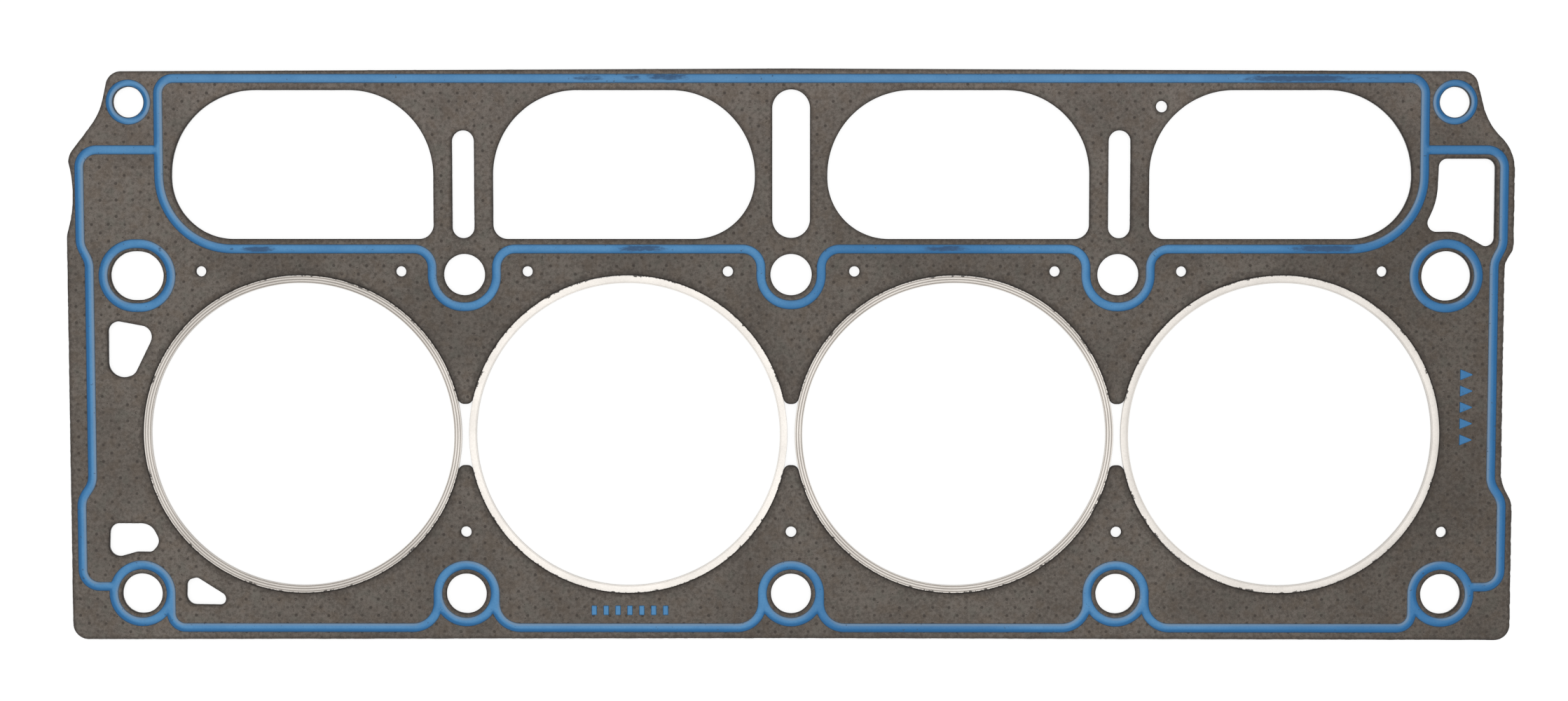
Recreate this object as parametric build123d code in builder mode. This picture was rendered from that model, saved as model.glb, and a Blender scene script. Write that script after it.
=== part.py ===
from build123d import *
from math import atan, degrees
import os

# Cylinder head gasket for one bank of a pushrod V8, lying flat. Sizes in millimetres.
# The origin is the middle of the bore line on the deck face. +X runs along the bores
# to the front end, +Y to the valley side and +Z up to the head.

# Cylinder bores and the steel fire rings that line them
bore_pitch = 111.76
bore_diameter = 104.14
ring_width = 2.57
ring_height = 1.70
ring_proud = 0.20
rim_chamfer = 0.10
groove_inset = 0.33
groove_pitch = 0.86
groove_count = 3
groove_depth = 0.15
fine_groove_depth = 0.07

# Body: a steel core between two fibre facings, with open webs between the rings
core_thickness = 0.42
web_gap = 21.0
web_tip_radius = 2.3

# Head bolt holes stand in five columns, one bore pitch apart
bolt_row = 54.9
upper_bolt_hole = 14.04
lower_bolt_hole = 13.74

# The two upper end bolts pass through dowels, one of them in a short slot
dowel_shift = 0.3
dowel_y = 54.5
dowel_hole = 16.82
dowel_slot_width = 16.6
dowel_slot_travel = 1.46

# Corner stud holes, measured from the far ends of the windows and the valley edge
stud_reach = 14.42
stud_edge = 10.5
stud_hole = 10.38

# Steam holes beside each bore, one row above and one below, and an air vent
steam_hole = 3.44
steam_spread = 34.25
upper_steam_y = 56.0
lower_steam_hole = 3.6
lower_steam_y = -33.5
vent_hole = 3.84
vent_shift = 14.44
vent_edge = 12.0

# Intake windows in pairs beside the pushrod slots. The far end is two curves with a short flat
window_shift = 0.24
window_gap = 10.2
window_length = 89.4
window_rise = 12.2
window_height = 50.6
window_top_radius = 28.8
window_far_flat = 0.9
window_near_radius = 4.9
centre_slot_width = 12.8
centre_slot_length = 50.45
centre_slot_rise = 25.6
side_slot_width = 7.5
side_slot_length = 36.65
side_slot_rise = 18.6

# Margins from the holes out to the four edges, and the bow of the two long edges
rear_overhang = 24.18
front_overhang = 24.08
valley_land = 6.4
exhaust_land = 16.0
valley_crown = 0.95
exhaust_crown = 0.5

# Steps of the front edge, which stands back beside the front bore
front_upper_step = 0.8
front_relief = 3.8
front_relief_top = 59.0
front_relief_bottom = -16.8
front_upper_jog = 4.6
front_lower_jog = 6.2

# Printed silicone beads: one network and four loose rings on each face
bead_width = 3.2
bead_height = 0.16
bead_edge_run = 0.7
edge_margin = 3.65
valley_margin = 2.45
window_margin = 3.45
side_margin = 4.3
cross_run_drop = 26.7
loop_top_radius = 5.2
window_run_radius = 25.0
dip_corner_radius = 6.3
dip_flat = 0.6
outer_dip_clearance = 3.98
centre_dip_clearance = 3.28
shoulder_run_radius = 6.0
upper_jog_rise = 6.0
lower_jog_rise = 5.7
jog_radius = 8.0
bolt_bead_gap = 1.4
dowel_bead_gap = 1.0
stud_bead_width = 2.4
stud_bead_gap = 0.1
foot_run_rise = 2.4
foot_run_radius = 5.8
end_rise_radius = 5.0
rise_radius = 8.6

# Heights of the layers
body_thickness = ring_height - 2 * ring_proud
facing_thickness = (body_thickness - core_thickness) / 2
body_bottom = ring_proud
core_bottom = body_bottom + facing_thickness
core_top = core_bottom + core_thickness
body_top = core_top + facing_thickness

# Lines that the holes and the outline share
bore_radius = bore_diameter / 2
seat_radius = bore_radius + ring_width
end_column = 2 * bore_pitch
window_column = bore_pitch + window_shift
window_end = window_column + window_gap + window_length
window_bottom = bolt_row + window_rise
window_top = window_bottom + window_height
window_far_radius = window_height - window_top_radius - window_far_flat
left_end = -end_column - rear_overhang
right_end = end_column + front_overhang
front_upper = right_end - front_upper_step
front_waist = right_end - front_relief
valley_edge = window_top + valley_land
exhaust_edge = -bolt_row - exhaust_land

# Places that repeat
webs = [step * bore_pitch for step in (-1, 0, 1)]
bores = [(step * bore_pitch, 0) for step in (-1.5, -0.5, 0.5, 1.5)]
upper_bolts = [(x, bolt_row) for x in webs]
lower_bolts = [(step * bore_pitch, -bolt_row) for step in (-2, -1, 0, 1, 2)]
dowel_x = end_column + dowel_shift
stud_x = window_end + stud_reach
studs = [(side * stud_x, valley_edge - stud_edge) for side in (-1, 1)]
upper_steam = [(x + side * steam_spread, upper_steam_y) for x, y in bores for side in (-1, 1)]
lower_steam = [(step * bore_pitch, lower_steam_y) for step in (-1, 0, 1, 2)]


def rounded_face(corners):
    """A closed face through corners that are given as (x, y, corner radius)."""
    with BuildSketch() as face:
        with BuildLine():
            FilletPolyline(
                *[(x, y) for x, y, radius in corners],
                radius=[radius for x, y, radius in corners],
                close=True,
            )
        make_face()
    return face.sketch


def port_face(column, line, corners):
    """A coolant port, with its corners measured from a bolt column and a level line."""
    return rounded_face([(column + x, line + y, radius) for x, y, radius in corners])


def window_face(side, facing):
    """One intake window. side picks the pushrod slot, facing the way it runs from the slot."""
    near = side * window_column + facing * window_gap
    far = near + facing * window_length
    return rounded_face(
        [
            (near, window_bottom, window_near_radius),
            (near, window_top, window_top_radius),
            (far, window_top, window_top_radius),
            (far, window_bottom, window_far_radius),
        ]
    )


windows = [window_face(side, facing) for side in (-1, 1) for facing in (-1, 1)]

# Coolant ports near the two ends
rear_upper_port = port_face(
    -end_column,
    0,
    [(-10.6, 17.9, 5.2), (-1.6, 20.6, 3.8), (6.2, 36.4, 3.8), (-10.5, 39.5, 3.5)],
)
rear_lower_port = port_face(
    -end_column,
    0,
    [
        (-11.4, -43.2, 3.5),
        (-1.8, -40.5, 4.1),
        (3.4, -40.6, 2.8),
        (6.5, -37.2, 3.6),
        (3.2, -30.7, 5.2),
        (-10.8, -30.7, 3.2),
    ],
)
rear_foot_port = port_face(
    -end_column,
    -bolt_row,
    [(15.2, -3.8, 3.2), (33.9, -4.0, 2.1), (18.9, 5.6, 2.1), (15.4, 4.5, 2.3)],
)
front_port = port_face(
    end_column,
    valley_edge,
    [
        (16.6, -61.5, 2.9),
        (4.2, -54.4, 12.6),
        (-8.2, -54.6, 3.0),
        (-3.1, -44.5, 25.0),
        (-2.6, -29.7, 2.9),
        (16.6, -29.7, 3.2),
    ],
)

# Outline, clockwise from the rear shoulder on the valley side
outline = rounded_face(
    [
        (-stud_x - 6.7, valley_edge, 5.2),
        (0, valley_edge + valley_crown, 0),
        (stud_x + 6.7, valley_edge, 5.2),
        (stud_x + 11.3, valley_edge - 17.7, 22.0),
        (front_upper, valley_edge - 27.1, 16.0),
        (front_upper, front_relief_top + front_upper_jog, 5.0),
        (front_waist, front_relief_top, 8.7),
        (front_waist, front_relief_bottom, 13.5),
        (right_end, front_relief_bottom - front_lower_jog, 9.5),
        (right_end, exhaust_edge, 5.4),
        (0, exhaust_edge + exhaust_crown, 0),
        (left_end, exhaust_edge, 5.4),
        (left_end, valley_edge - 55.8, 8.7),
        (left_end + 3.6, valley_edge - 43.2, 44.0),
        (left_end + 0.8, valley_edge - 30.6, 0.5),
        (left_end + 1.4, valley_edge - 28.0, 6.0),
        (-stud_x - 9.8, valley_edge - 14.3, 21.6),
    ]
)

# The shape that the core and both facings share
with BuildSketch() as blank:
    add(outline)
    with Locations(*bores):
        Circle(seat_radius, mode=Mode.SUBTRACT)
    with Locations(*[(x, 0) for x in webs]):
        Rectangle(bore_pitch - bore_diameter, web_gap, mode=Mode.SUBTRACT)
    tips = blank.vertices().filter_by(lambda v: abs(abs(v.Y) - web_gap / 2) < 0.01)
    fillet(tips, web_tip_radius)
    with Locations(*upper_bolts):
        Circle(upper_bolt_hole / 2, mode=Mode.SUBTRACT)
    with Locations(*lower_bolts):
        Circle(lower_bolt_hole / 2, mode=Mode.SUBTRACT)
    with Locations((dowel_x, dowel_y)):
        Circle(dowel_hole / 2, mode=Mode.SUBTRACT)
    with Locations((-dowel_x, dowel_y)):
        SlotCenterToCenter(dowel_slot_travel, dowel_slot_width, mode=Mode.SUBTRACT)
    with Locations(*studs):
        Circle(stud_hole / 2, mode=Mode.SUBTRACT)
    with Locations(*upper_steam):
        Circle(steam_hole / 2, mode=Mode.SUBTRACT)
    with Locations(*lower_steam):
        Circle(lower_steam_hole / 2, mode=Mode.SUBTRACT)
    with Locations((bore_pitch + vent_shift, valley_edge - vent_edge)):
        Circle(vent_hole / 2, mode=Mode.SUBTRACT)
    with Locations((0, window_bottom + centre_slot_rise)):
        SlotOverall(centre_slot_length, centre_slot_width, rotation=90, mode=Mode.SUBTRACT)
    with Locations(*[(side * window_column, window_bottom + side_slot_rise) for side in (-1, 1)]):
        SlotOverall(side_slot_length, side_slot_width, rotation=90, mode=Mode.SUBTRACT)
    for opening in [*windows, rear_upper_port, rear_lower_port, rear_foot_port, front_port]:
        add(opening, mode=Mode.SUBTRACT)

# Lines that the bead network follows, the same to both sides of the middle
loop_x = window_end + side_margin
loop_top = valley_edge - valley_margin
loop_bottom = window_bottom - window_margin
upper_run_x = front_upper - edge_margin
waist_run_x = front_waist - edge_margin
foot_run_x = right_end - edge_margin
foot_run_y = foot_run_rise - bolt_row
bottom_run_y = exhaust_edge + exhaust_crown + edge_margin
bolt_bead_radius = lower_bolt_hole / 2 + bolt_bead_gap + bead_width / 2
dowel_bead_radius = dowel_hole / 2 + dowel_bead_gap + bead_width / 2
slot_bead_radius = dowel_slot_width / 2 + dowel_bead_gap + bead_width / 2
stud_bead_radius = stud_hole / 2 + stud_bead_gap + stud_bead_width / 2


def dip_corners(x, clearance):
    """Corners of one dip of the loop round an upper bolt hole, taken from +X to -X."""
    reach = upper_bolt_hole / 2 + clearance
    low = bolt_row - reach
    return [
        (x + reach, loop_bottom, dip_corner_radius),
        (x + reach, low, reach - dip_flat / 2),
        (x - reach, low, reach - dip_flat / 2),
        (x - reach, loop_bottom, dip_corner_radius),
    ]


# The closed loop round the windows, with a dip under each upper bolt hole
loop_corners = [
    (-loop_x, loop_bottom, window_run_radius),
    (-loop_x, loop_top, loop_top_radius),
    (loop_x, loop_top, loop_top_radius),
    (loop_x, loop_bottom, window_run_radius),
    *dip_corners(bore_pitch, outer_dip_clearance),
    *dip_corners(0, centre_dip_clearance),
    *dip_corners(-bore_pitch, outer_dip_clearance),
]


def end_corners(side):
    """Corners of the run from the loop down one end to the last lower bolt hole."""
    return [
        (side * loop_x, valley_edge - cross_run_drop, 0),
        (side * upper_run_x, valley_edge - cross_run_drop, shoulder_run_radius),
        (side * upper_run_x, front_relief_top + upper_jog_rise, jog_radius),
        (side * waist_run_x, front_relief_top, jog_radius),
        (side * waist_run_x, front_relief_bottom, jog_radius),
        (side * foot_run_x, front_relief_bottom - lower_jog_rise, jog_radius),
        (side * foot_run_x, foot_run_y, foot_run_radius),
        (side * (end_column + bolt_bead_radius), foot_run_y, 0),
    ]


def bottom_corners(step):
    """Corners of the run from one lower bolt hole to the next, counted from the middle."""
    start = step * bore_pitch + bolt_bead_radius
    finish = (step + 1) * bore_pitch - bolt_bead_radius
    return [
        (start, -bolt_row, 0),
        (start, bottom_run_y, end_rise_radius if step == -2 else rise_radius),
        (finish, bottom_run_y, end_rise_radius if step == 1 else rise_radius),
        (finish, -bolt_row, 0),
    ]


def bead_run(corners, closed=False):
    """The strip that a bead covers along corners that are given as (x, y, radius)."""
    radii = [radius for x, y, radius in corners]
    with BuildLine() as route:
        FilletPolyline(
            *[(x, y) for x, y, radius in corners],
            radius=radii if closed else radii[1:-1],
            close=closed,
        )
    with BuildSketch() as strip:
        trace(route.line, line_width=bead_width)
    return strip.sketch


with BuildSketch() as bead_network:
    add(bead_run(loop_corners, closed=True))
    for side in (-1, 1):
        add(bead_run(end_corners(side)))
    for step in (-2, -1, 0, 1):
        add(bead_run(bottom_corners(step)))
    with Locations(*lower_bolts):
        Circle(bolt_bead_radius + bead_width / 2)
        Circle(bolt_bead_radius - bead_width / 2, mode=Mode.SUBTRACT)


def loose_bead(place, radius, width, travel=0):
    """The strip of a bead that stands alone round a hole, drawn out along X by travel."""
    with BuildSketch() as strip:
        with Locations(place):
            for reach, mode in ((radius + width / 2, Mode.ADD), (radius - width / 2, Mode.SUBTRACT)):
                if travel:
                    SlotCenterToCenter(travel, 2 * reach, mode=mode)
                else:
                    Circle(reach, mode=mode)
    return strip.sketch


bead_strips = {
    "bead_network": bead_network.sketch,
    "dowel_bead_rear": loose_bead(
        (-dowel_x, dowel_y), slot_bead_radius, bead_width, dowel_slot_travel
    ),
    "dowel_bead_front": loose_bead((dowel_x, dowel_y), dowel_bead_radius, bead_width),
    "stud_bead_rear": loose_bead(studs[0], stud_bead_radius, stud_bead_width),
    "stud_bead_front": loose_bead(studs[1], stud_bead_radius, stud_bead_width),
}

# The three layers of the body, cut through to one shape
with BuildPart() as facing_bottom:
    with BuildSketch(Plane.XY.offset(body_bottom)):
        add(blank.sketch)
    extrude(amount=facing_thickness)

with BuildPart() as core_plate:
    with BuildSketch(Plane.XY.offset(core_bottom)):
        add(blank.sketch)
    extrude(amount=core_thickness)

with BuildPart() as facing_top:
    with BuildSketch(Plane.XY.offset(core_top)):
        add(blank.sketch)
    extrude(amount=facing_thickness)

pieces = {"facing_bottom": facing_bottom, "core_plate": core_plate, "facing_top": facing_top}


def fire_ring(x, ridges):
    """A fire ring seated in the body at x, with its ridges up for 1 and down for -1."""
    middle = ring_height / 2
    with BuildPart() as ring:
        with BuildSketch(Plane.XZ) as section:
            with Locations((x + bore_radius + ring_width / 2, middle)):
                Rectangle(ring_width, ring_height)
            chamfer(section.vertices(), rim_chamfer)
            insets = [groove_inset + number * groove_pitch for number in range(groove_count)]
            with Locations(*[(x + bore_radius + inset, middle + ridges * middle) for inset in insets]):
                RegularPolygon(groove_depth, 4, mode=Mode.SUBTRACT)
            with Locations((x + bore_radius + groove_inset, middle - ridges * middle)):
                RegularPolygon(fine_groove_depth, 4, mode=Mode.SUBTRACT)
        revolve(axis=Axis((x, 0, 0), (0, 0, 1)))
    return ring


# From the rear, the rings lie with the ridged face and the flat face up by turns
for number, (x, y) in enumerate(bores, start=1):
    pieces[f"fire_ring_{number}"] = fire_ring(x, 1 if number % 2 else -1)


def printed_bead(strip):
    """A bead on the upper face, with sloping sides up to a flat crest."""
    with BuildPart() as bead:
        with BuildSketch(Plane.XY.offset(body_top)):
            add(strip)
        extrude(amount=bead_height, taper=degrees(atan(bead_edge_run / bead_height)))
    return bead


# Each bead is printed on the head face and again on the deck face below it
for name, strip in bead_strips.items():
    upper = printed_bead(strip)
    with BuildPart() as lower:
        mirror(upper.part, about=Plane.XY.offset(ring_height / 2))
    pieces[f"{name}_top"] = upper
    pieces[f"{name}_bottom"] = lower

os.makedirs("parts", exist_ok=True)
for name, piece in pieces.items():
    piece.part.label = name
    export_step(piece.part, f"parts/{name}.step")
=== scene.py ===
import math

import bpy
import numpy as np
from mathutils import Matrix, Vector
from mathutils.geometry import delaunay_2d_cdt
from mathutils.kdtree import KDTree


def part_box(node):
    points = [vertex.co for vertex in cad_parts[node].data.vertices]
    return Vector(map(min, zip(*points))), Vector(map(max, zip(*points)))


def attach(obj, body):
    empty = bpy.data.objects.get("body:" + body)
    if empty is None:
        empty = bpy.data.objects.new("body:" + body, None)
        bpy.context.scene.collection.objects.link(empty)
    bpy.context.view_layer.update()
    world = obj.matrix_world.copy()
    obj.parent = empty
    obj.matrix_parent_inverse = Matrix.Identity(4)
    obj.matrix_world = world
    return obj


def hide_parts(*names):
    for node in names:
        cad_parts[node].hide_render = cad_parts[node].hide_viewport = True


# A cylinder head gasket, lying flat with its head face up. Outlines are worked in millimetres
# and become metres when a mesh is made.
MM = 0.001

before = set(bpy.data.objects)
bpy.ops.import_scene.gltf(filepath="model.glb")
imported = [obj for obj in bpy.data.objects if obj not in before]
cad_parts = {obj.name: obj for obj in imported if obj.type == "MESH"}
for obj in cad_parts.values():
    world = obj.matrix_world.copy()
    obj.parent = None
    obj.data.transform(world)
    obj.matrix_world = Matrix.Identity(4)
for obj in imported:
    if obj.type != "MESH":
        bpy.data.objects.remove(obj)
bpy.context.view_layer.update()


def heights(node):
    """The lowest and highest point of a CAD node, in millimetres."""
    return [corner.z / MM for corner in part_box(node)]


BODY_TOP = heights("facing_top")[1]
RING_TOP = heights("fire_ring_1")[1]
MIDDLE = sum(heights("fire_ring_1")) / 2
FRONT_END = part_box("facing_top")[1].x / MM

# Reading an outline off a CAD face, drawing it again and filling it
SAME_HEIGHT = 0.002
SPOT_DECIMALS = 3
SAME_SPOT = 1e-6
TINY = 1e-9
LONGEST_ARC_EDGE = 9.0
STRAIGHT_RATIO = 1.8
SHARP_TURN = 0.4
FILL_INSIDE = 1

# Edges that turn by more degrees than this are shaded sharp
SHEET_SHARP = 50
BEAD_SHARP = 60
RING_SHARP = 40

# The cut edge of the board and of the steel core
EDGE_STEP = 0.6
EDGE_SHOULDER = 0.05
CLEAN_CUT = 0.06
ROUGH_CUT = 0.13
CRUMBLED_CUT = 0.13
CUT_EVEN_SHARE = 0.35
CUT_FINE_SHARE = 0.9
CUT_SLOW_SHARE = 0.35
FINE_ROUNDS = 1
SLOW_ROUNDS = 12
CORE_INSET = 0.02

# Nicks along the front edge, where the edge runs nearly straight across
NICK_PITCH = 5.6
NICK_DEPTH = 0.6
NICK_HALF_LENGTH = 0.7
NICK_SHALLOWEST = 0.5
NICK_WANDER = 0.4
NICK_WANDER_ROUNDS = 20
FRONT_EDGE_TILT = 0.3

# Lines inside a rim, which set where painted shade darkens the board along its cut edges. Those at
# a bore lie deeper than the distance that they carry, so that the painted shade is wider there. A
# bore is a hole of at least this share of the largest.
RIM_INSETS = (0.35, 1.3)
BORE_INSETS = (0.55, 2.6)
BORE_SHARE = 0.9
DEEPEST_RIM = 1.6

# Dimples that the tangs of the core raise in the board, in staggered columns
DIMPLE_COLUMN = 2.85
DIMPLE_ROW = 5.6
DIMPLE_SCATTER = 0.08
DIMPLE_RADIUS = 0.8
DIMPLE_FLOOR = 0.4
DIMPLE_DEPTH = 0.05
DIMPLE_STRENGTHS = (0.45, 1.0)
DIMPLE_SIDES = 6
DIMPLE_CLEARANCE = 1.9
MASK_STEP = 3.0
HEAD_SEED = 11
DECK_SEED = 12

# Section of a printed bead: distance in from its edge, and share of its height. The shading of
# its sides ends at the crown.
BEAD_STEP = 0.8
BEAD_CROWN = 1.7
BEAD_PROFILE = [(0.0, 0.0), (0.07, 0.26), (0.22, 0.55), (0.5, 0.8), (0.95, 0.95), (1.4, 1.0)]
STUD_BEAD_PROFILE = [(0.0, 0.0), (0.07, 0.3), (0.2, 0.6), (0.42, 0.84), (0.72, 0.96), (1.0, 1.0)]
BEADS = {
    "bead_network": BEAD_PROFILE,
    "dowel_bead_rear": BEAD_PROFILE,
    "dowel_bead_front": BEAD_PROFILE,
    "stud_bead_rear": STUD_BEAD_PROFILE,
    "stud_bead_front": STUD_BEAD_PROFILE,
}

# Rubbed places on the beads of the head face: from x, to x, y, half width, strength. One has
# faded out at RUB_END half lengths from its middle and at RUB_SIDE half widths.
RUBBED = [
    (-191.7, -190.8, 63.6, 0.7, 1.0),
    (-187.5, -177.0, 63.6, 1.1, 0.95),
    (-59.0, -43.0, 63.8, 1.2, 0.9),
    (45.0, 60.0, 63.8, 1.1, 0.85),
    (171.0, 193.0, 63.8, 1.2, 0.95),
    (-75.0, -63.0, 121.8, 1.1, 0.7),
    (-57.0, -51.0, 122.0, 1.0, 0.75),
    (-49.0, -35.0, 122.1, 1.2, 0.85),
    (153.0, 192.0, 121.6, 1.2, 0.95),
    (195.5, 201.5, 121.6, 0.9, 0.55),
    (-216.4, -215.2, 63.6, 0.9, 0.8),
    (215.7, 216.7, 58.3, 0.7, 1.0),
]
RUB_END = 1.5
RUB_SIDE = 1.4

# Painted light on the beads: a bead's side that faces the middle of the upper edge gets a painted
# highlight and its other side painted shade. Both grow with the distance from there, up to a
# reach.
PAINTED_LIGHT_TOWARDS = (0.0, 120.0)
PAINTED_LIGHT_REACH = 220.0


def signed_area(loop):
    """Area inside a closed outline, negative where it runs clockwise."""
    x, y = np.asarray(loop).T
    return 0.5 * float(np.sum(x * np.roll(y, -1) - y * np.roll(x, -1)))


def outlines(node, height):
    """Closed outlines of a CAD node's flat face at a height, with the solid on their left."""
    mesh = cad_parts[node].data
    points = np.empty(len(mesh.vertices) * 3)
    mesh.vertices.foreach_get("co", points)
    points = points.reshape(-1, 3) / MM
    mesh.calc_loop_triangles()
    corners = np.empty(len(mesh.loop_triangles) * 3, int)
    mesh.loop_triangles.foreach_get("vertices", corners)
    triangles = corners.reshape(-1, 3)
    flat = np.all(np.abs(points[triangles][:, :, 2] - height) < SAME_HEIGHT, axis=1)
    spots = [tuple(spot) for spot in np.round(points[:, :2], SPOT_DECIMALS).tolist()]
    sides = {}
    for triangle in triangles[flat].tolist():
        ring = [spots[index] for index in triangle]
        if signed_area(ring) < 0:
            ring.reverse()
        for start, end in zip(ring, ring[1:] + ring[:1]):
            sides[start, end] = True
    onward = {}
    for start, end in sides:
        if (end, start) not in sides:
            onward.setdefault(start, []).append(end)
    loops = []
    while onward:
        first = next(iter(onward))
        loop = [first]
        spot = onward[first].pop()
        while spot != first:
            loop.append(spot)
            spot = onward[spot].pop()
        for spot in loop:
            if spot in onward and not onward[spot]:
                del onward[spot]
        loops.append(np.array(loop))
    return loops


def drawn_again(loop, step):
    """An outline at even steps, with its flats kept straight and its arcs made round."""
    edge = np.roll(loop, -1, axis=0) - loop
    length = np.hypot(*edge.T)
    along = edge / length[:, None]
    behind = np.roll(along, 1, axis=0)
    shorter = np.maximum(np.roll(length, 1), np.roll(length, -1))
    straight = (length > LONGEST_ARC_EDGE) | (length > STRAIGHT_RATIO * shorter)
    cross = behind[:, 0] * along[:, 1] - behind[:, 1] * along[:, 0]
    turn = np.abs(np.arctan2(cross, np.sum(behind * along, axis=1)))
    weighted = behind * length[:, None] + along * np.roll(length, 1)[:, None]
    weighted /= np.hypot(*weighted.T)[:, None]
    count = len(loop)
    drawn = []
    for start in range(count):
        end = (start + 1) % count
        leave = arrive = along[start]
        if not straight[start] and turn[start] < SHARP_TURN:
            leave = behind[start] if straight[start - 1] else weighted[start]
        if not straight[start] and turn[end] < SHARP_TURN:
            arrive = along[end] if straight[end] else weighted[end]
        pieces = max(1, round(length[start] / step))
        for share in np.arange(pieces) / pieces:
            square, cube = share**2, share**3
            drawn.append(
                (2 * cube - 3 * square + 1) * loop[start]
                + (cube - 2 * square + share) * length[start] * leave
                + (3 * square - 2 * cube) * loop[end]
                + (cube - square) * length[start] * arrive
            )
    return np.array(drawn)


def into_solid(loop):
    """Unit directions that point from each outline point into the solid."""
    way = np.roll(loop, -1, axis=0) - np.roll(loop, 1, axis=0)
    way /= np.hypot(*way.T)[:, None]
    return np.column_stack((-way[:, 1], way[:, 0]))


def around(count):
    """Unit directions at even angles round a circle."""
    angles = np.arange(count) * 2 * math.pi / count
    return np.column_stack((np.cos(angles), np.sin(angles)))


def uneven(count, rng, rounds):
    """Random numbers along a closed outline, smoothed a number of times, from -1 to 1."""
    values = rng.standard_normal(count)
    for _ in range(rounds):
        values = (np.roll(values, 1) + 2 * values + np.roll(values, -1)) / 4
    return values / (np.abs(values).max() + TINY)


def cut_depth(loop, depth, rng):
    """How far a rough cut lies inside its outline at each point."""
    fine = np.abs(uneven(len(loop), rng, FINE_ROUNDS))
    slow = uneven(len(loop), rng, SLOW_ROUNDS)
    return depth * (CUT_EVEN_SHARE + CUT_FINE_SHARE * fine + CUT_SLOW_SHARE * slow)


def nicked(loop, way, rng):
    """Extra depth of the small nicks that stand at even steps along the front edge."""
    across = np.abs(way[:, 1]) < FRONT_EDGE_TILT
    on_front = (loop[:, 0] > FRONT_END - NICK_PITCH) & across
    wander = NICK_WANDER * uneven(len(loop), rng, NICK_WANDER_ROUNDS)
    place = (loop[:, 1] + wander) % NICK_PITCH - NICK_PITCH / 2
    share = np.clip(1 - np.abs(place) / NICK_HALF_LENGTH, 0, 1)
    return NICK_DEPTH * share * on_front * rng.uniform(NICK_SHALLOWEST, 1.0, len(loop))


class Sheet:
    """Numbered points of one surface, with their heights and the values that it carries."""

    def __init__(self):
        self.points = []
        self.heights = []
        self.carried = {}
        self.edges = []
        self.rims = []
        self.feet = {}

    def add_points(self, points, height, **carried):
        first, count = len(self.points), len(points)
        self.points.extend(map(tuple, points))
        self.heights.extend(np.broadcast_to(height, count).tolist())
        for key, value in carried.items():
            self.carried.setdefault(key, []).extend(np.broadcast_to(value, count).tolist())
        return list(range(first, first + count))

    def add_loop(self, points, height, rim=False, feet=(), **carried):
        """A closed line of points. A rim ends the surface, and its cut side may stand on feet."""
        ring = self.add_points(points, height, **carried)
        self.edges.extend(zip(ring, ring[1:] + ring[:1]))
        if rim:
            self.rims.append(ring)
        self.feet.update(zip(ring, feet))

    def fill(self):
        """Triangles between the rims, and how their points and those of the sheet match up."""
        holes = {
            number
            for number, rim in enumerate(self.rims)
            if signed_area([self.points[index] for index in rim]) < 0
        }
        # The fill needs every rim the same way round
        rims = [rim[::-1] if number in holes else rim for number, rim in enumerate(self.rims)]
        spots = [Vector(point) for point in self.points]
        filled = delaunay_2d_cdt(spots, self.edges, rims, FILL_INSIDE, SAME_SPOT, True)
        points, _, triangles, came_from, _, inside = filled
        old = [sources[0] if sources else None for sources in came_from]
        new = {source: number for number, sources in enumerate(came_from) for source in sources}
        kept = [
            triangle
            for triangle, within in zip(triangles, inside)
            if within and not holes.intersection(within)
        ]
        return [tuple(point) for point in points], old, new, kept


def smooth_mesh(name, vertices, faces, carried, sharp):
    """A smooth mesh from vertices in millimetres, with the values that it carries."""
    mesh = bpy.data.meshes.new(name)
    mesh.from_pydata((np.array(vertices) * MM).tolist(), [], faces)
    mesh.update()
    for key, values in carried.items():
        layer = mesh.attributes.new(key, "FLOAT", "POINT")
        layer.data.foreach_set("value", np.array(values, "f"))
    mesh.shade_smooth()
    mesh.set_sharp_from_angle(angle=math.radians(sharp))
    return mesh


def solid_mesh(name, top, low, side, sharp, shoulder=0.0):
    """A closed solid under a sheet, cut down to height low. Side -1 turns it face down."""
    points, old, new, faces = top.fill()
    # Points that the fill adds, where lines cross, carry the values of the plainest point
    ranks = list(zip(top.heights, top.carried.get("rim_distance", top.heights)))
    plainest = ranks.index(max(ranks))
    sources = [plainest if index is None else index for index in old]
    vertices = [(x, y, top.heights[source]) for (x, y), source in zip(points, sources)]
    base = Sheet()
    base_vertices = []
    for rim in top.rims:
        above = [new[index] for index in rim]
        rim_height = top.heights[rim[0]]
        for height in (rim_height - shoulder, low):
            if rim_height - height < TINY:
                continue
            below = list(range(len(vertices), len(vertices) + len(rim)))
            for index in rim:
                vertices.append((*top.feet.get(index, top.points[index]), height))
                sources.append(index)
            for number in range(len(rim)):
                following = (number + 1) % len(rim)
                faces.append((above[number], below[number], below[following], above[following]))
            above = below
        base.add_loop([vertices[index][:2] for index in above], low, rim=True)
        base_vertices.extend(above)
    _, base_old, _, base_faces = base.fill()
    for face in base_faces:
        faces.append([base_vertices[base_old[index]] for index in reversed(face)])
    if side < 0:
        vertices = [(x, y, 2 * MIDDLE - z) for x, y, z in vertices]
        faces = [list(reversed(face)) for face in faces]
    carried = {key: [values[index] for index in sources] for key, values in top.carried.items()}
    return smooth_mesh(name, vertices, faces, carried, sharp)


def inside_mask(points, loops):
    """Which points lie in the solid part of a set of outlines."""
    inside = np.zeros(len(points), bool)
    for loop in loops:
        ahead = np.roll(loop, -1, axis=0)
        for (x0, y0), (x1, y1) in zip(loop.tolist(), ahead.tolist()):
            if y0 == y1:
                continue
            spans = (points[:, 1] >= min(y0, y1)) & (points[:, 1] < max(y0, y1))
            crossing = x0 + (points[:, 1] - y0) / (y1 - y0) * (x1 - x0)
            inside ^= spans & (points[:, 0] < crossing)
    return inside


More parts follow.
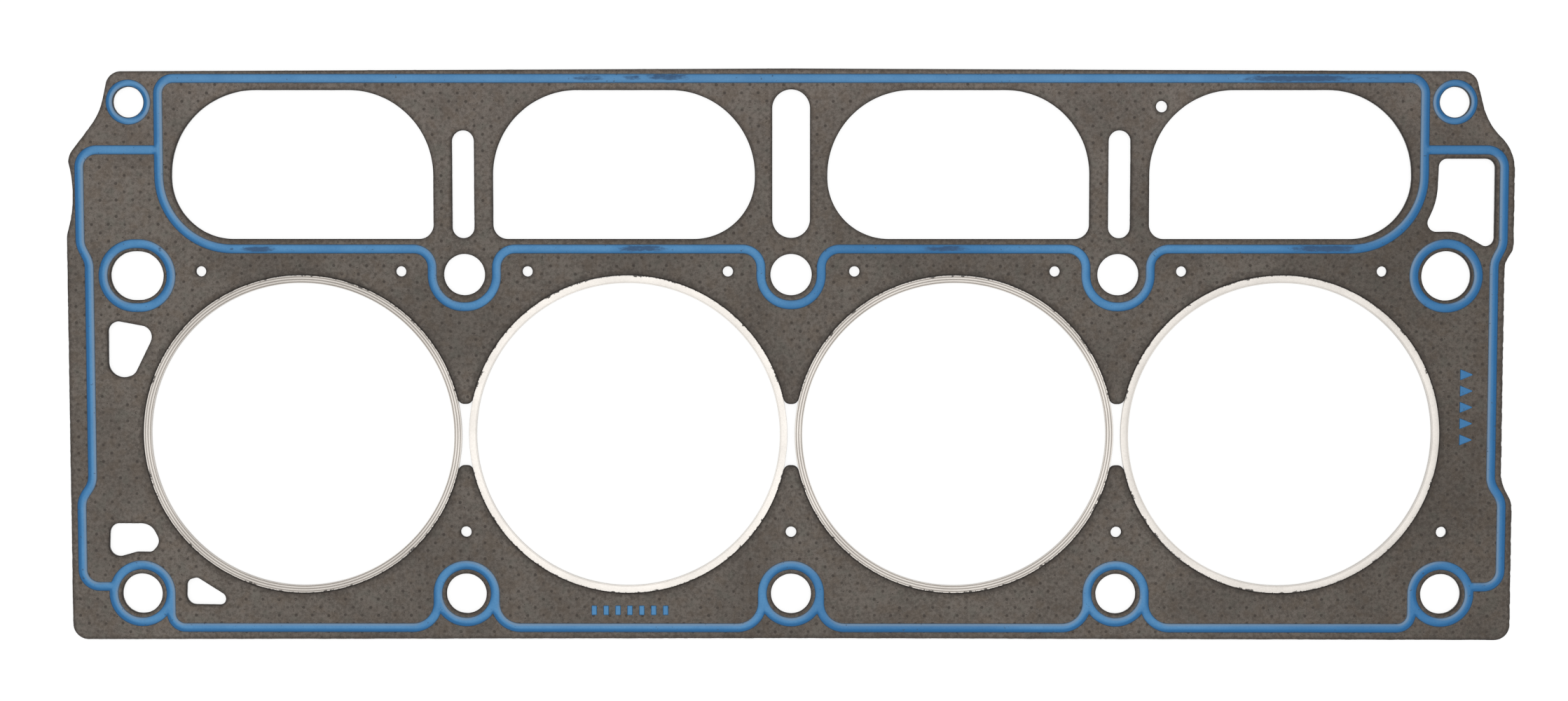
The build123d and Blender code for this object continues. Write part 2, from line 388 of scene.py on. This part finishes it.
def cut_edges(sheet, cad_loops, rng):
    """Adds the rough cut edges of a facing to its sheet, and gives the outlines drawn again."""
    areas = [signed_area(loop) for loop in cad_loops]
    drawn = []
    for cad_loop, area in zip(cad_loops, areas):
        loop = drawn_again(cad_loop, EDGE_STEP)
        way = into_solid(loop)
        insets = RIM_INSETS
        if area == max(areas):
            depth = cut_depth(loop, ROUGH_CUT, rng) + nicked(loop, way, rng)
        elif area < BORE_SHARE * min(areas):
            depth = cut_depth(loop, CRUMBLED_CUT, rng)
            insets = BORE_INSETS
        else:
            depth = cut_depth(loop, CLEAN_CUT, rng)
        outer = loop + way * depth[:, None]
        edge = outer + way * EDGE_SHOULDER
        sheet.add_loop(
            edge, BODY_TOP, rim=True, feet=outer.tolist(), rim_distance=0.0, dimple=0.0
        )
        for inset, distance in zip(insets, RIM_INSETS):
            line = loop + way * (inset + depth / 2)[:, None]
            sheet.add_loop(line, BODY_TOP, rim_distance=distance, dimple=0.0)
        drawn.append(loop)
    return drawn


def dimple_places(cad_loops, drawn, rng):
    """Places and strengths of the dimples that stand clear of every edge."""
    edges = np.concatenate(drawn)
    tree = KDTree(len(edges))
    for number, (x, y) in enumerate(edges.tolist()):
        tree.insert((x, y, 0), number)
    tree.balance()
    widest = max(cad_loops, key=signed_area)
    columns = np.arange(widest[:, 0].min(), widest[:, 0].max(), DIMPLE_COLUMN)
    rows = np.arange(widest[:, 1].min(), widest[:, 1].max(), DIMPLE_ROW)
    grid = []
    for number, x in enumerate(columns):
        shift = DIMPLE_ROW / 2 if number % 2 else 0.0
        grid.extend((x, y + shift) for y in rows)
    grid = np.array(grid) + rng.normal(0, DIMPLE_SCATTER, (len(grid), 2))
    grid = grid[inside_mask(grid, [drawn_again(loop, MASK_STEP) for loop in cad_loops])]
    strengths = rng.uniform(*DIMPLE_STRENGTHS, len(grid))
    return [
        (spot, strength)
        for spot, strength in zip(grid, strengths)
        if tree.find((*spot, 0))[2] >= DIMPLE_CLEARANCE
    ]


def board_mesh(node, side, seed):
    """One fibre facing, with rough cut edges and the dimples of the core's tangs."""
    rng = np.random.default_rng(seed)
    low, high = heights(node)
    cad_loops = outlines(node, high)
    sheet = Sheet()
    drawn = cut_edges(sheet, cad_loops, rng)
    circle = around(DIMPLE_SIDES)
    for spot, strength in dimple_places(cad_loops, drawn, rng):
        for radius, fall in ((DIMPLE_RADIUS, 0.0), (DIMPLE_FLOOR, strength)):
            height = BODY_TOP - fall * DIMPLE_DEPTH
            sheet.add_points(spot + circle * radius, height, rim_distance=DEEPEST_RIM, dimple=fall)
    return solid_mesh(node, sheet, BODY_TOP - (high - low), side, SHEET_SHARP, EDGE_SHOULDER)


def core_mesh(node):
    """The steel core, with smooth edges that stand a hair outside the cut board."""
    low, high = heights(node)
    sheet = Sheet()
    for cad_loop in outlines(node, high):
        loop = drawn_again(cad_loop, EDGE_STEP)
        sheet.add_loop(loop + into_solid(loop) * CORE_INSET, high, rim=True)
    return solid_mesh(node, sheet, low, 1, SHEET_SHARP)


def rubbing(points, node):
    """How much a bead is rubbed dark at each point, from 0 to 1."""
    amount = np.zeros(len(points))
    if not node.endswith("_top"):
        return amount
    for start, end, y, half_width, strength in RUBBED:
        middle, half = (start + end) / 2, (end - start) / 2
        lengthwise = np.clip(RUB_END - np.abs(points[:, 0] - middle) / half, 0, 1)
        across = np.clip(RUB_SIDE - np.abs(points[:, 1] - y) / half_width, 0, 1)
        amount = np.maximum(amount, strength * lengthwise * across)
    return amount


def turned_inward(points, way):
    """How much a bead's side faces the middle of the upper edge, from -1 to 1, for its painted
    highlight and shade.
    """
    pull = (np.array(PAINTED_LIGHT_TOWARDS) - points) / PAINTED_LIGHT_REACH
    pull /= np.maximum(1, np.hypot(*pull.T))[:, None]
    return np.sum(-way * pull, axis=1)


def bead_mesh(node, profile, side):
    """A printed bead with a domed section, on the outline of its CAD node."""
    low, high = heights(node)
    sheet = Sheet()
    for cad_loop in outlines(node, low if side > 0 else high):
        loop = drawn_again(cad_loop, BEAD_STEP)
        way = into_solid(loop)
        # Which side of the bead gets the painted highlight and which the painted shade
        inward = turned_inward(loop, way)
        for inset, share in profile:
            line = loop + way * inset
            sheet.add_loop(
                line,
                BODY_TOP + share * (high - low),
                rim=inset == 0,
                bead_distance=inset,
                inward=inward * (1 - inset / BEAD_CROWN),
                rubbed=rubbing(line, node),
            )
    return solid_mesh(node, sheet, BODY_TOP, side, BEAD_SHARP)


# Fire rings. A groove's section is given by shares of its half width and of its depth.
RING_COUNT = 4
RING_STEPS = 360
RING_WIDTH = 2.57
RIM_ROUND = 0.12
RIM_ANGLES = [math.radians(angle) for angle in (0, 22.5, 45, 67.5, 90)]
# Shares of painted shade on the rounded rims and, below, at the floors of the grooves
RIM_PAINTED_SHADE = 0.05
GROOVE_INSETS = (0.33, 1.19, 2.05)
GROOVE_HALF_WIDTH = 0.17
GROOVE_DEPTH = 0.15
GROOVE_PAINTED_SHADE = 1.0
GROOVE_SECTION = [(-1.0, 0.0), (-0.5, 0.45), (-0.15, 0.95), (0.15, 0.95), (0.5, 0.45), (1.0, 0.0)]
FINE_GROOVE_INSETS = GROOVE_INSETS[:1]
FINE_GROOVE_HALF_WIDTH = 0.1
FINE_GROOVE_DEPTH = 0.04
FINE_GROOVE_PAINTED_SHADE = 0.35


def ring_face(grooves, half_width, depth, painted_shade):
    """One face of a ring's section: distance from the bore wall, depth below the top, share of
    painted shade.
    """
    rounding = [(RIM_ROUND * (1 - math.cos(a)), RIM_ROUND * (1 - math.sin(a))) for a in RIM_ANGLES]
    section = [(across, drop, RIM_PAINTED_SHADE) for across, drop in rounding]
    for inset in grooves:
        for share, fall in GROOVE_SECTION:
            section.append((inset + share * half_width, fall * depth, fall * painted_shade))
    section.extend((RING_WIDTH - across, drop, 0.0) for across, drop in reversed(rounding))
    return sorted(section)


def ring_mesh(node, ridged_up):
    """A fire ring turned about its bore axis, ridged on one face and plain on the other."""
    low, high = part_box(node)
    centre = np.array((low.x + high.x, low.y + high.y)) / 2 / MM
    inner = (high.x - low.x) / 2 / MM - RING_WIDTH
    ridged = ring_face(GROOVE_INSETS, GROOVE_HALF_WIDTH, GROOVE_DEPTH, GROOVE_PAINTED_SHADE)
    plain = ring_face(
        FINE_GROOVE_INSETS, FINE_GROOVE_HALF_WIDTH, FINE_GROOVE_DEPTH, FINE_GROOVE_PAINTED_SHADE
    )
    upper, under = (ridged, plain) if ridged_up else (plain, ridged)
    section = [(across, RING_TOP - drop, painted_shade) for across, drop, painted_shade in upper] + under[::-1]
    across, levels, painted_shade = np.array(section).T
    size = len(section)
    spots = centre + around(RING_STEPS)[:, None] * (inner + across)[:, None]
    vertices = np.column_stack((spots.reshape(-1, 2), np.tile(levels, RING_STEPS)))
    faces = []
    for step in range(RING_STEPS):
        here, there = step * size, (step + 1) % RING_STEPS * size
        for number in range(size):
            following = (number + 1) % size
            faces.append((here + number, there + number, there + following, here + following))
    # The section's painted shade, carried round the ring
    carried = {"across": np.tile(across, RING_STEPS), "painted_shade": np.tile(painted_shade, RING_STEPS)}
    return smooth_mesh(node, vertices, faces, carried, RING_SHARP)


# Printed marks that stand in two plain places of the head face. The colours that run in from a
# bead's edge are drawn together as many times as MARK_NARROWER says.
MARK_HEIGHT = 0.05
MARK_PROFILE = [(0.0, 0.0), (0.08, 0.6), (0.3, 1.0)]
MARK_NARROWER = 3
MARK_ROUND = 0.35
MARK_ROUND_STEPS = 4
ARROW_COUNT = 5
ARROW_PITCH = 5.6
ARROW_X = 231.4
ARROW_Y = 9.5
ARROW_LENGTH = 4.6
ARROW_WIDTH = 4.0
BAR_COUNT = 7
BAR_PITCH = 4.1
BAR_X = -55.5
BAR_Y = -60.7
BAR_WIDTH = 1.9
BAR_HEIGHT = 3.4


def rounded_corners(corners):
    """The small outline of a mark, with every corner rounded."""
    corners = np.array(corners)
    rounded = []
    for number, here in enumerate(corners):
        before = corners[number - 1] - here
        ahead = corners[(number + 1) % len(corners)] - here
        start = here + before / np.hypot(*before) * MARK_ROUND
        end = here + ahead / np.hypot(*ahead) * MARK_ROUND
        for share in np.linspace(0, 1, MARK_ROUND_STEPS):
            rest = 1 - share
            rounded.append(rest**2 * start + 2 * share * rest * here + share**2 * end)
    return np.array(rounded)


def in_a_row(middle, pitch, count):
    """Places at even steps about a middle."""
    return [middle + (number - (count - 1) / 2) * pitch for number in range(count)]


def arrow_shapes():
    """A column of small triangles that point to the front end."""
    back, tip = ARROW_X - ARROW_LENGTH / 2, ARROW_X + ARROW_LENGTH / 2
    half = ARROW_WIDTH / 2
    for y in in_a_row(ARROW_Y, ARROW_PITCH, ARROW_COUNT):
        yield rounded_corners([(back, y - half), (tip, y), (back, y + half)])


def bar_shapes():
    """A row of plain upright bars."""
    low, high = BAR_Y - BAR_HEIGHT / 2, BAR_Y + BAR_HEIGHT / 2
    for x in in_a_row(BAR_X, BAR_PITCH, BAR_COUNT):
        left, right = x - BAR_WIDTH / 2, x + BAR_WIDTH / 2
        yield rounded_corners([(left, low), (right, low), (right, high), (left, high)])


def marks_mesh(name, shapes):
    """Thin printed marks, each with a low domed top."""
    sheet = Sheet()
    for shape in shapes:
        way = into_solid(shape)
        for inset, share in MARK_PROFILE:
            sheet.add_loop(
                shape + way * inset,
                BODY_TOP + share * MARK_HEIGHT,
                rim=inset == 0,
                bead_distance=MARK_NARROWER * inset,
                inward=0.0,
                rubbed=0.0,
            )
    return solid_mesh(name, sheet, BODY_TOP, 1, BEAD_SHARP)


class Value:
    """A shader socket. An expression on it adds the maths nodes that it needs."""

    def __init__(self, shader, socket):
        self.shader = shader
        self.socket = socket

    def __add__(self, other):
        return self.shader.maths("ADD", self, other)

    def __radd__(self, other):
        return self.shader.maths("ADD", other, self)

    def __sub__(self, other):
        return self.shader.maths("SUBTRACT", self, other)

    def __rsub__(self, other):
        return self.shader.maths("SUBTRACT", other, self)

    def __mul__(self, other):
        return self.shader.maths("MULTIPLY", self, other)

    def __rmul__(self, other):
        return self.shader.maths("MULTIPLY", other, self)

    def __abs__(self):
        return self.shader.maths("ABSOLUTE", self)


class Shader:
    """The nodes of one material or of the world, with a single way to add any node."""

    def __init__(self, owner):
        self.owner = owner
        owner.use_nodes = True
        self.tree = owner.node_tree
        self.tree.nodes.clear()

    def add(self, kind, settings=None, inputs=None, output=0):
        """Adds a node and gives one of its outputs, or nothing where it has none."""
        node = self.tree.nodes.new(kind)
        for name, value in (settings or {}).items():
            setattr(node, name, value)
        for key, value in (inputs or {}).items():
            self.feed(node.inputs[key], value)
        return Value(self, node.outputs[output]) if node.outputs else None

    def feed(self, socket, value):
        """Links a value to a socket, or sets a plain number or colour on it."""
        if isinstance(value, Value):
            self.tree.links.new(value.socket, socket)
        elif socket.type == "RGBA":
            socket.default_value = (*value, 1.0)
        else:
            socket.default_value = value

    def maths(self, operation, first, second=0.0):
        return self.add("ShaderNodeMath", {"operation": operation}, {0: first, 1: second})

    def step(self, value, low, high, start=0.0, end=1.0):
        """A smooth change from start to end while value goes from low to high."""
        ends = {"Value": value, "From Min": low, "From Max": high, "To Min": start, "To Max": end}
        return self.add("ShaderNodeMapRange", {"interpolation_type": "SMOOTHSTEP"}, ends)

    def mix(self, share, first, second, blend="MIX"):
        """Two colours mixed."""
        settings = {"data_type": "RGBA", "blend_type": blend}
        return self.add("ShaderNodeMix", settings, {0: share, 6: first, 7: second}, 2)

    def coats(self, colour, *coats):
        """A colour with coats over it, each given by its share, its colour and how it blends."""
        for share, coat, *blend in coats:
            colour = self.mix(share, colour, coat, *blend)
        return colour

    def place(self):
        """Where a point is on the gasket, in metres."""
        return self.add("ShaderNodeTexCoord", output="Object")

    def along(self, place):
        """The x and y of a place."""
        return [self.add("ShaderNodeSeparateXYZ", None, {0: place}, axis) for axis in (0, 1)]

    def noise(self, place, size, detail=2.0, rough=0.5):
        """Noise whose grains are about size millimetres across."""
        inputs = {"Vector": place, "Scale": 1 / (size * MM), "Detail": detail, "Roughness": rough}
        return self.add("ShaderNodeTexNoise", None, inputs, "Fac")

    def carried(self, name):
        """A value that the mesh carries."""
        settings = {"attribute_type": "GEOMETRY", "attribute_name": name}
        return self.add("ShaderNodeAttribute", settings, None, "Fac")

    def bump(self, height, reach):
        """A normal roughened by a height of 0 to 1 over reach millimetres."""
        inputs = {"Height": height, "Distance": reach * MM, "Strength": 1.0}
        return self.add("ShaderNodeBump", None, inputs)

    def surface(self, **inputs):
        """Ends the material in one principled surface."""
        named = {name.replace("_", " "): value for name, value in inputs.items()}
        body = self.add("ShaderNodeBsdfPrincipled", None, named)
        self.add("ShaderNodeOutputMaterial", None, {"Surface": body})
        return self.owner


# Colours, in linear light
BOARD = (0.094, 0.0800, 0.0682)
BOARD_DARK = (0.044, 0.0368, 0.0315)
BOARD_LIGHT = (0.156, 0.1355, 0.1175)
BOARD_BROWN = (0.128, 0.092, 0.062)
BOARD_GREEN = (0.084, 0.096, 0.080)
BOARD_SPECK_AND_EDGE_SHADOW = (0.024, 0.020, 0.018)
REAR_SHARE = (1.10, 1.10, 1.10)
FRONT_SHARE = (0.84, 0.83, 0.82)
UPPER_SHARE = (1.22, 1.21, 1.22)
BEAD_BLUE = (0.079, 0.254, 0.485)
BEAD_DEEP = (0.006, 0.110, 0.290)
BEAD_PALE = (0.185, 0.275, 0.385)
BEAD_EDGE = (0.030, 0.050, 0.075)
BEAD_RUB = (0.018, 0.056, 0.130)
RIDGED_STEEL = (0.625, 0.588, 0.547)
FLAT_STEEL = (0.665, 0.632, 0.592)
STEEL_PAINTED_SHADE = (0.19, 0.168, 0.146)
CORE_STEEL = (0.09, 0.083, 0.075)
CORE_BRIGHT = (0.20, 0.19, 0.175)

# Where a finish changes, in metres along x or y: the two ends of each change
BOARD_REAR = (-0.235, -0.17)
BOARD_FRONT = (0.13, 0.23)
BOARD_UPPER = (0.07, 0.125)
BEAD_FRONT = (0.12, 0.21)
BEAD_UPPER_RUN = (0.09, 0.11)
DEEP_STRETCH_MIDDLE = 0.04
DEEP_STRETCH = (0.02, 0.05)
RING_REAR = (-0.10, -0.15)
RING_FRONT = (0.105, 0.12)
RING_FAR_SIDES = (0.022, 0.036)
RING_BESIDE_BOARD = (0.011, 0.014)

# How much painted shade darkens the rings' reflections at their far sides
RIDGED_FAR_PAINTED_SHADE = 0.17
FLAT_FAR_PAINTED_SHADE = 0.02

# The streaks in rubbed silicone are long in x
STREAK_SHARES = (0.3, 1.0, 1.0)


def board_finish():
    """Grey fibre board: fine grain, specks, and painted shade in its dimples and along its cut
    edges.
    """
    shader = Shader(bpy.data.materials.new("board"))
    place = shader.place()
    x, y = shader.along(place)
    grain = shader.noise(place, 0.32, detail=3.0, rough=0.7)
    mottle = shader.noise(place, 1.3, detail=3.0, rough=0.65)
    tint = shader.noise(place, 4.5, detail=3.0)
    cloud = shader.noise(place, 9.0, detail=3.0)
    patches = shader.noise(place, 45.0)
    specks = shader.step(shader.noise(place, 0.8, detail=1.0), 0.71, 0.77)
    flakes = shader.step(shader.noise(place, 0.6, detail=1.0), 0.69, 0.76)
    rim = shader.carried("rim_distance")
    # Painted shade along the cut edges: a near-black painted shadow line at the rim and a darker
    # band further in
    painted_edge_shadow_line = shader.step(rim + 0.25 * (mottle - 0.5), 0.05, 0.42, 1.0, 0.0)
    painted_edge_shade_band = shader.step(rim + 1.6 * (mottle - 0.5), 0.2, 1.5, 1.0, 0.0)
    # Painted shade in the dimples, darkest at their floors
    painted_dimple_shade = shader.step(shader.carried("dimple") + 0.6 * (mottle - 0.5), 0.1, 0.9, 0.0, 0.75)
    light = shader.step(grain * 0.4 + mottle * 0.45 + cloud * 0.15, 0.41, 0.59)
    colour = shader.coats(
        shader.mix(light, BOARD, BOARD_LIGHT),
        (shader.step(tint, 0.50, 0.36, 0.0, 0.2), BOARD_BROWN),
        (shader.step(tint, 0.54, 0.68, 0.0, 0.2), BOARD_GREEN),
        (shader.step(patches, 0.35, 0.6, 0.25, 0.0), BOARD_DARK),
        (shader.step(x, *BOARD_REAR, 1.0, 0.0), REAR_SHARE, "MULTIPLY"),
        (shader.step(x, *BOARD_FRONT), FRONT_SHARE, "MULTIPLY"),
        (shader.step(y, *BOARD_UPPER), UPPER_SHARE, "MULTIPLY"),
        (painted_dimple_shade, BOARD_DARK),
        (0.6 * painted_edge_shade_band, BOARD_DARK),
        (0.85 * painted_edge_shadow_line, BOARD_SPECK_AND_EDGE_SHADOW),
        (0.75 * specks, BOARD_SPECK_AND_EDGE_SHADOW),
        (0.35 * flakes, BOARD_LIGHT),
    )
    normal = shader.bump(grain * 0.5 + mottle * 0.5, 0.04)
    roughness = shader.step(grain, 0.3, 0.7, 0.85, 0.97)
    return shader.surface(
        Base_Color=colour, Roughness=roughness, Normal=normal, Specular_IOR_Level=0.25
    )


def bead_finish():
    """Printed silicone: blue, rubbed here and there, darker at its edges from painted shade and a
    line of wicked oil and painted shadow, with a painted highlight on its sides that face the
    middle of the upper edge and painted shade on those that face away.
    """
    shader = Shader(bpy.data.materials.new("printed_silicone"))
    place = shader.place()
    x, y = shader.along(place)
    cloud = shader.noise(place, 9.0)
    fine = shader.noise(place, 0.6)
    ticks = shader.step(shader.noise(place, 1.1, detail=1.0), 0.72, 0.78)
    edge = shader.carried("bead_distance")
    inward = shader.carried("inward")
    drawn_out = shader.add(
        "ShaderNodeVectorMath", {"operation": "MULTIPLY"}, {0: place, 1: STREAK_SHARES}
    )
    streak = shader.noise(drawn_out, 0.8, detail=3.0, rough=0.7)
    worn = shader.step(shader.carried("rubbed") + 1.3 * (streak - 0.5), 0.3, 0.9)
    upper_run = shader.step(y, *BEAD_UPPER_RUN)
    deep_stretch = shader.step(abs(x - DEEP_STRETCH_MIDDLE), *DEEP_STRETCH, 0.5, 0.0)
    colour = shader.coats(
        shader.mix(shader.step(cloud, 0.3, 0.75, 0.0, 0.25), BEAD_BLUE, BEAD_DEEP),
        (shader.step(fine, 0.3, 0.75, 0.0, 0.15), BEAD_DEEP),
        (shader.step(x, *BEAD_FRONT, 0.0, 0.5), BEAD_DEEP),
        (deep_stretch * (1.0 - upper_run), BEAD_DEEP),
        (0.1 * upper_run, BEAD_PALE),
        # Painted shade on the domed sides near the edges
        (shader.step(edge, 0.2, 0.9, 0.35, 0.0), BEAD_DEEP),
        # Painted shade on the sides that face away from the middle of the upper edge, and a
        # painted highlight on those that face it
        (shader.step(inward, 0.08, -0.5, 0.0, 0.9), BEAD_DEEP),
        (shader.step(inward, 0.1, 0.7, 0.0, 0.85), BEAD_PALE),
        (0.6 * ticks, BEAD_EDGE),
        (0.85 * worn, BEAD_RUB),
        # A near-black line at the edge, partly oil that has wicked out and partly painted shadow
        (shader.step(edge + 0.15 * (fine - 0.5), 0.05, 0.4, 0.85, 0.0), BEAD_EDGE),
    )
    slack = 1.0 - edge * (1 / BEAD_CROWN)
    normal = shader.bump(0.4 * (1.0 - slack * slack) + 0.02 * fine, 1.0)
    roughness = shader.step(fine, 0.3, 0.7, 0.36, 0.5)
    return shader.surface(
        Base_Color=colour, Roughness=roughness, Normal=normal, Specular_IOR_Level=0.3
    )


def ring_finish(name, steel, far_painted_shade):
    """Bright steel with a warm cast, painted shade in its grooves, painted darker reflections in
    places and board dust at its outer edge.
    """
    shader = Shader(bpy.data.materials.new(name))
    place = shader.place()
    x, y = shader.along(place)
    fine = shader.noise(place, 0.5, detail=3.0, rough=0.6)
    wide = shader.noise(place, 14.0)
    crumbs = shader.noise(place, 0.7, detail=3.0, rough=0.7) - 0.5
    bites = shader.step(shader.noise(place, 3.2), 0.56, 0.68, 0.0, 0.45)
    beside_board = shader.step(abs(y), *RING_BESIDE_BOARD)
    outer_edge = shader.step(shader.carried("across") + 1.8 * crumbs + bites, 2.5, 2.6)
    dust = beside_board * outer_edge
    colour = shader.coats(
        steel,
        # Painted darker reflections: in wide patches, at the rear and front ends and at each
        # ring's far sides
        (shader.step(wide, 0.3, 0.7, 0.0, 0.12), STEEL_PAINTED_SHADE),
        (shader.step(x, *RING_REAR, 0.0, 0.12), STEEL_PAINTED_SHADE),
        (shader.step(x, *RING_FRONT, 0.0, 0.14), STEEL_PAINTED_SHADE),
        (shader.step(abs(y), *RING_FAR_SIDES, 0.0, far_painted_shade), STEEL_PAINTED_SHADE),
        # Painted shade in the grooves and on the rounded rims
        (0.55 * shader.carried("painted_shade"), STEEL_PAINTED_SHADE),
        (0.9 * dust, BOARD_DARK),
    )
    metal = 1.0 - 0.95 * dust
    roughness = shader.step(fine, 0.3, 0.7, 0.28, 0.42) + 0.4 * dust
    return shader.surface(Base_Color=colour, Metallic=metal, Roughness=roughness)


def core_finish():
    """Plain dull steel, seen only as a thin line between the facings."""
    shader = Shader(bpy.data.materials.new("core_steel"))
    shear = shader.noise(shader.place(), 0.4)
    colour = shader.mix(shader.step(shear, 0.35, 0.7), CORE_STEEL, CORE_BRIGHT)
    roughness = shader.step(shear, 0.3, 0.7, 0.4, 0.6)
    return shader.surface(Base_Color=colour, Metallic=0.6, Roughness=roughness)


def put_in_scene(name, data):
    """A new object that shows a mesh, a lamp or a camera."""
    thing = bpy.data.objects.new(name, data)
    bpy.context.scene.collection.objects.link(thing)
    return thing


def place_piece(name, mesh, finish, slot, *nodes):
    """Puts a mesh on the gasket, in place of the CAD nodes named."""
    mesh.materials.append(finish)
    piece = put_in_scene(name, mesh)
    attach(piece, "root")
    if nodes:
        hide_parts(*nodes)


board = board_finish()
silicone = bead_finish()
ridged_steel = ring_finish("ridged_steel", RIDGED_STEEL, RIDGED_FAR_PAINTED_SHADE)
flat_steel = ring_finish("flat_steel", FLAT_STEEL, FLAT_FAR_PAINTED_SHADE)

head_facing = board_mesh("facing_top", 1, HEAD_SEED)
deck_facing = board_mesh("facing_bottom", -1, DECK_SEED)
place_piece("head_facing", head_facing, board, "facing", "facing_top")
place_piece("deck_facing", deck_facing, board, "facing", "facing_bottom")
place_piece("steel_core", core_mesh("core_plate"), core_finish(), "core", "core_plate")
for number in range(1, RING_COUNT + 1):
    node = f"fire_ring_{number}"
    ridged_up = number % 2 == 1
    steel = ridged_steel if ridged_up else flat_steel
    place_piece(f"bore_ring_{number}", ring_mesh(node, ridged_up), steel, "ring", node)
for face, side in (("top", 1), ("bottom", -1)):
    for bead, profile in BEADS.items():
        node = f"{bead}_{face}"
        place_piece(f"printed_{node}", bead_mesh(node, profile, side), silicone, "bead", node)
place_piece("front_arrows", marks_mesh("front_arrows", arrow_shapes()), silicone, "bead")
place_piece("plain_bars", marks_mesh("plain_bars", bar_shapes()), silicone, "bead")

# Camera, from the photograph's own view of the bolt holes and the outline
IMAGE_WIDTH = 2238
FOCAL_PIXELS = 3123.48
SENSOR = 36.0
NEAREST_SEEN = 0.01
CAMERA_PLACE = (-0.0005, 0.067039, 0.75015)
CAMERA_TILT = (0.0508476, -0.0025505, -0.0002819)

# Light: an even white surround and one soft lamp above the middle
SURROUND = 0.83
LAMP_HEIGHT = 1.3
LAMP_SIZE = 1.6
LAMP_POWER = 3.9
FLOOR_SIZE = 4.0
FLOOR_GAP = 0.00002
FLOOR_COLOUR = (0.25, 0.25, 0.25)
FLOOR_GLOW = 0.8


def set_camera():
    """The photograph's own view."""
    data = bpy.data.cameras.new("camera")
    data.sensor_fit = "HORIZONTAL"
    data.sensor_width = SENSOR
    data.lens = FOCAL_PIXELS / IMAGE_WIDTH * SENSOR
    data.clip_start = NEAREST_SEEN
    camera = put_in_scene("camera", data)
    turned = Matrix.Identity(4)
    for angle, axis in zip(CAMERA_TILT, "XYZ"):
        turned = turned @ Matrix.Rotation(-angle, 4, axis)
    camera.matrix_world = Matrix.Translation(CAMERA_PLACE) @ turned
    bpy.context.scene.camera = camera


def seen_directly(shader):
    """1 for what the camera sees, by itself or in metal, and 0 for light that falls on things."""
    camera, mirrored, through = (
        shader.add("ShaderNodeLightPath", output=f"Is {kind} Ray")
        for kind in ("Camera", "Glossy", "Transmission")
    )
    return shader.maths("MINIMUM", camera + mirrored + through, 1.0)


def light_world():
    """A surround that looks white and lights things a little less."""
    world = bpy.data.worlds.new("surround")
    bpy.context.scene.world = world
    shader = Shader(world)
    strength = SURROUND + (1 - SURROUND) * seen_directly(shader)
    glow = {"Color": (1.0, 1.0, 1.0), "Strength": strength}
    white = shader.add("ShaderNodeBackground", None, glow)
    shader.add("ShaderNodeOutputWorld", None, {"Surface": white})


def lay_floor():
    """A floor that looks white and keeps the gasket's shadow."""
    half = FLOOR_SIZE / 2
    mesh = bpy.data.meshes.new("floor")
    corners = [(-half, -half, 0), (half, -half, 0), (half, half, 0), (-half, half, 0)]
    mesh.from_pydata(corners, [], [(0, 1, 2, 3)])
    floor = put_in_scene("floor", mesh)
    floor.location.z = -FLOOR_GAP
    shader = Shader(bpy.data.materials.new("floor"))
    matt = shader.add("ShaderNodeBsdfDiffuse", None, {"Color": FLOOR_COLOUR})
    glow = shader.add("ShaderNodeEmission", None, {"Strength": FLOOR_GLOW * seen_directly(shader)})
    both = shader.add("ShaderNodeAddShader", None, {0: matt, 1: glow})
    shader.add("ShaderNodeOutputMaterial", None, {"Surface": both})
    mesh.materials.append(shader.owner)


def hang_lamp():
    """One wide soft lamp above the middle."""
    lamp = bpy.data.lights.new("lamp", "AREA")
    lamp.shape = "DISK"
    lamp.size = LAMP_SIZE
    lamp.energy = LAMP_POWER
    put_in_scene("lamp", lamp).location = (0, CAMERA_PLACE[1], LAMP_HEIGHT)


set_camera()
light_world()
lay_floor()
hang_lamp()
bpy.context.scene.view_settings.view_transform = "Standard"
